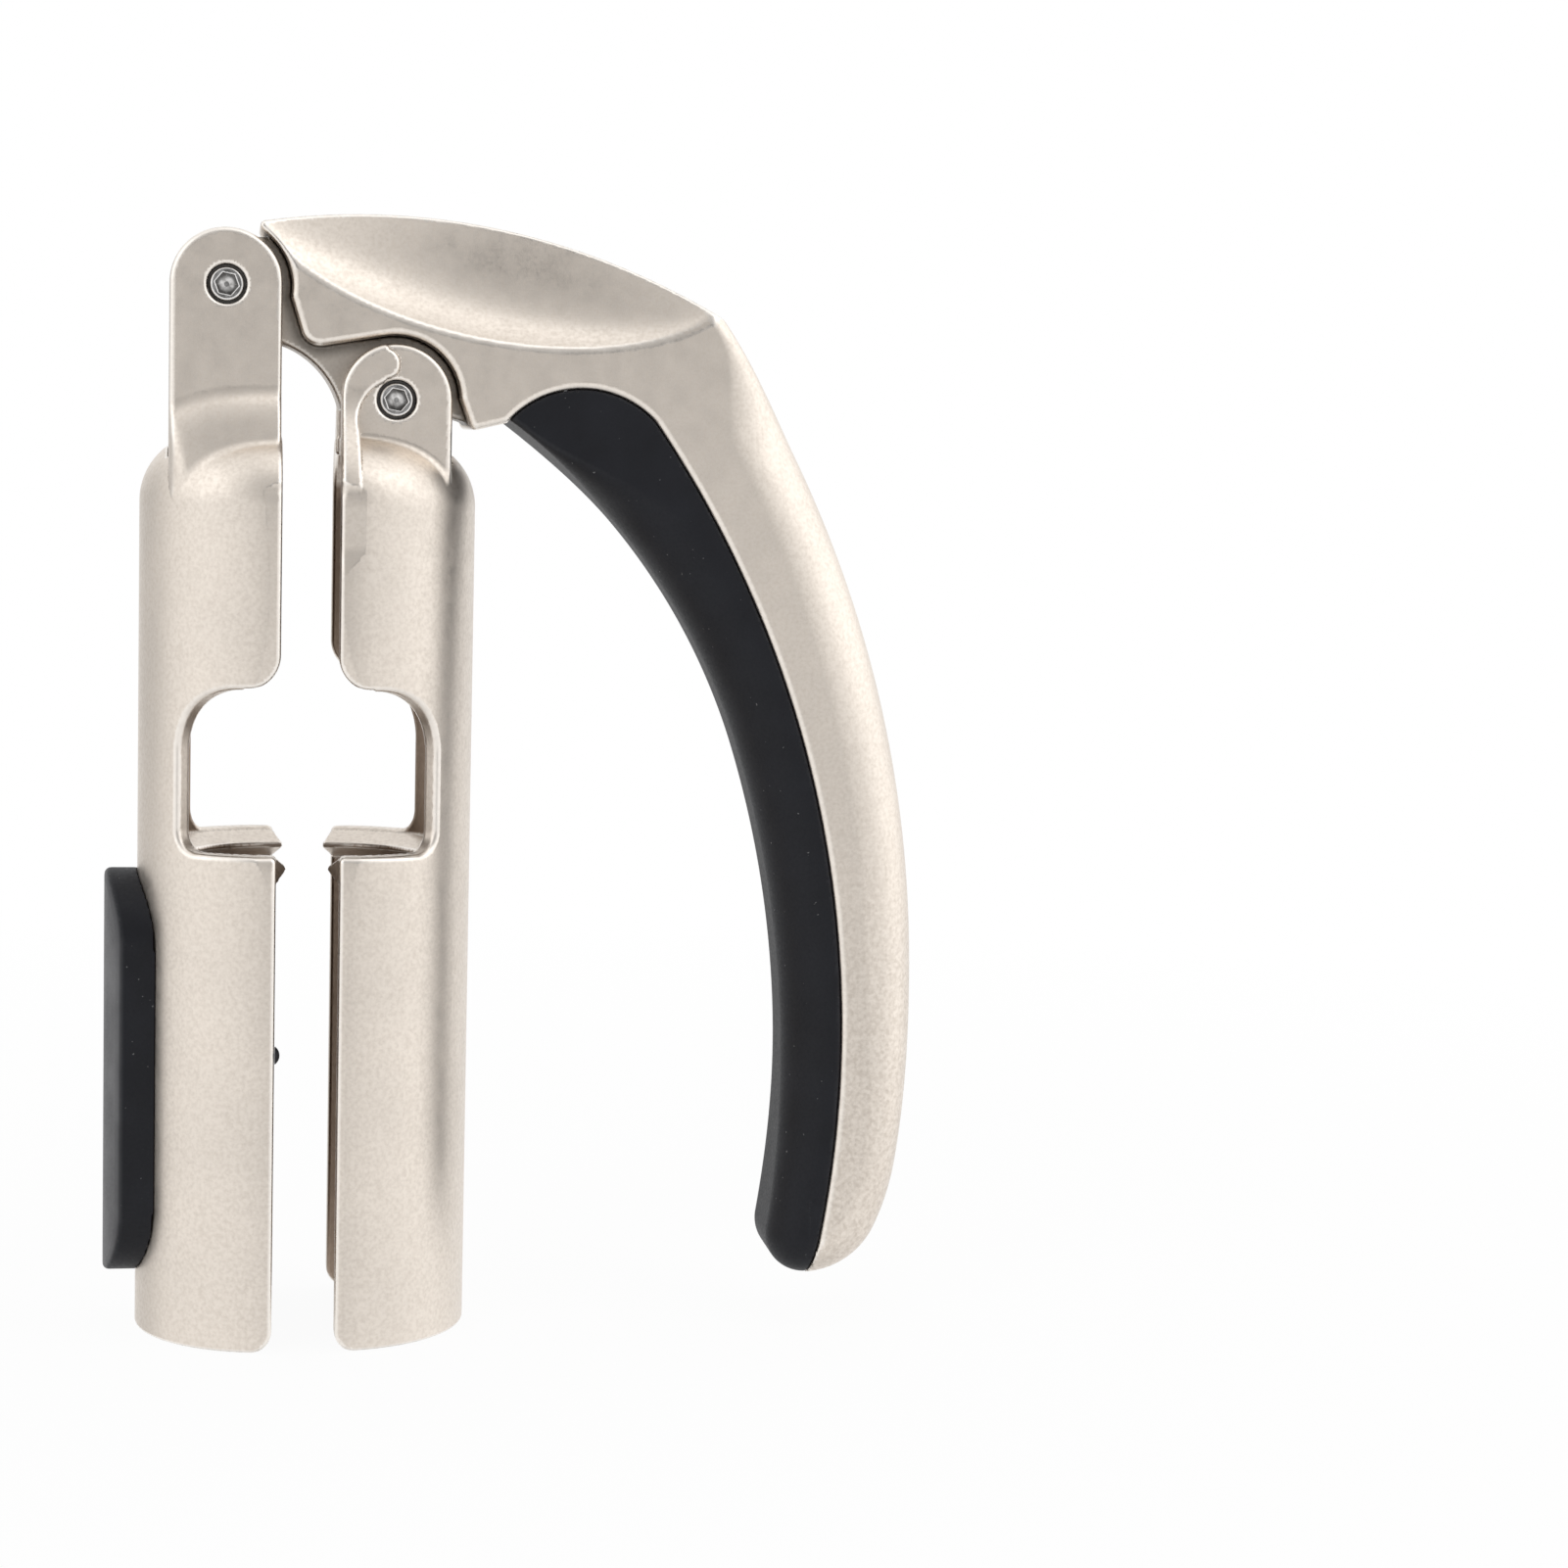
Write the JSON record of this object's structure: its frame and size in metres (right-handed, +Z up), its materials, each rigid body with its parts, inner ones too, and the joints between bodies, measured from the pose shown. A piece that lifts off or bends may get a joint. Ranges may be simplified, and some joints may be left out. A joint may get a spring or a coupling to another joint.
{
  "type": "champagne bottle opener",
  "caption": "Squeeze-lever champagne opener: half-tube metal jaws with a cork window and claw ring close round a bottle neck when the curved rubber-lined handle is pressed.",
  "frame": {"origin": "on the fixed jaw's bore axis, at the plane of the jaws' bottom rim", "axes": "+Z up along the bottle neck, +X from the fixed jaw towards the lever's handle, Y along the two pivots; the tool is mirror symmetric about Y = 0"},
  "size_m": [0.1099, 0.036, 0.1488],
  "materials": {
    "satin_nickel": "satin nickel plate on a zinc casting",
    "black_rubber": "fine matt moulded rubber",
    "pivot_steel": "plain bright steel, slightly dark in the recesses"
  },
  "bodies": {
    "fixed_jaw": {"fixed_jaw": "satin_nickel", "jaw_pad": "black_rubber", "jaw_bumper": "black_rubber", "upper_pivot_barrel": "pivot_steel", "upper_pivot_screw": "pivot_steel"},
    "lever": {"lever": "satin_nickel", "lever_grip": "black_rubber"},
    "moving_jaw": {"moving_jaw": "satin_nickel", "lower_pivot_barrel": "pivot_steel", "lower_pivot_screw": "pivot_steel"}
  },
  "joints": [
    {"name": "lever_hinge", "type": "hinge", "parent": "fixed_jaw", "child": "lever", "pos_m": [-0.0069, 0, 0.13885], "axis": [0, 1, 0], "range_deg": [-35, 17]},
    {"name": "jaw_hinge", "type": "hinge", "parent": "lever", "child": "moving_jaw", "pos_m": [0.015, 0, 0.12465], "axis": [0, 1, 0], "range_deg": [-17, 35]}
  ],
  "couplings": [
    {"joint": "jaw_hinge", "follows": "lever_hinge", "ratio": -1}
  ]
}
